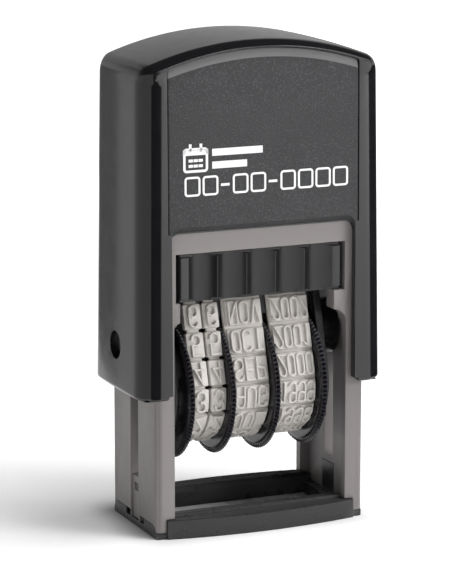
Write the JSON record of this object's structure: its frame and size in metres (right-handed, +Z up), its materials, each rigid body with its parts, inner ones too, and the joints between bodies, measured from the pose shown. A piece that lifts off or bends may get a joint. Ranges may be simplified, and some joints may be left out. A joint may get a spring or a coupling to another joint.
{
  "type": "rotary date stamp",
  "caption": "Self-inking pocket date stamp: a sprung cap pressed over a frame flips a carrier of rubber date bands from ink pad to paper.",
  "frame": {"origin": "centre of the foot's footprint, on the paper", "axes": "+X to the right along the printed line, +Y to the rear, +Z up along the cap's travel"},
  "size_m": [0.0382, 0.0206, 0.0711],
  "materials": {
    "frame_plastic": "satin warm grey moulding",
    "foot_plastic": "satin black moulding",
    "cassette_plastic": "semi-gloss black",
    "pad_felt": "felt soaked in blue-black ink",
    "spring_steel": "drawn spring wire",
    "cap_gloss": "high gloss black",
    "panel_plastic": "fine textured dark grey",
    "panel_print": "white pad print",
    "carrier_plastic": "satin black moulding",
    "platen_plastic": "satin black moulding",
    "axle_steel": "ground rod",
    "pin_plastic": "satin black moulding",
    "band_rubber": "off-white moulded rubber",
    "wheel_plastic": "satin black moulding"
  },
  "bodies": {
    "frame": {"inner_frame": "frame_plastic", "base_foot": "foot_plastic", "ink_cassette": "cassette_plastic", "ink_pad": "pad_felt", "return_spring": "spring_steel"},
    "cap": {"cap_shell": "cap_gloss", "front_panel": "panel_plastic", "rear_panel": "panel_plastic"},
    "carrier": {"left_cheek": "carrier_plastic", "right_cheek": "carrier_plastic", "platen_bar": "platen_plastic", "wheel_axle": "axle_steel", "left_pivot_pin": "pin_plastic", "right_pivot_pin": "pin_plastic", "day_band_tens": "band_rubber", "day_band_units": "band_rubber", "month_band": "band_rubber", "year_band": "band_rubber"},
    "tens_wheel": {"day_wheel_tens": "wheel_plastic"},
    "units_wheel": {"day_wheel_units": "wheel_plastic"},
    "month_wheel": {"month_wheel": "wheel_plastic"},
    "year_wheel": {"year_wheel": "wheel_plastic"}
  },
  "joints": [
    {"name": "cap_slide", "type": "slide", "parent": "frame", "child": "cap", "axis": [0, 0, -1], "range_m": [0, 0.0181], "stiffness_N_per_m": 350, "springref_m": -0.012, "deforming": ["return_spring"]},
    {"name": "carrier_flip", "type": "hinge", "parent": "cap", "child": "carrier", "pos_m": [0, 0, 0.0271], "axis": [1, 0, 0], "range_deg": [0, 180]},
    {"name": "tens_wheel_turn", "type": "hinge", "parent": "carrier", "child": "tens_wheel", "pos_m": [-0.0116, 0, 0.0201], "axis": [1, 0, 0], "continuous": true},
    {"name": "units_wheel_turn", "type": "hinge", "parent": "carrier", "child": "units_wheel", "pos_m": [-0.00515, 0, 0.0201], "axis": [1, 0, 0], "continuous": true},
    {"name": "month_wheel_turn", "type": "hinge", "parent": "carrier", "child": "month_wheel", "pos_m": [0.00165, 0, 0.0201], "axis": [1, 0, 0], "continuous": true},
    {"name": "year_wheel_turn", "type": "hinge", "parent": "carrier", "child": "year_wheel", "pos_m": [0.00905, 0, 0.0201], "axis": [1, 0, 0], "continuous": true}
  ],
  "couplings": [
    {"joint": "carrier_flip", "follows": "cap_slide", "rad_per_m": 173.57}
  ]
}
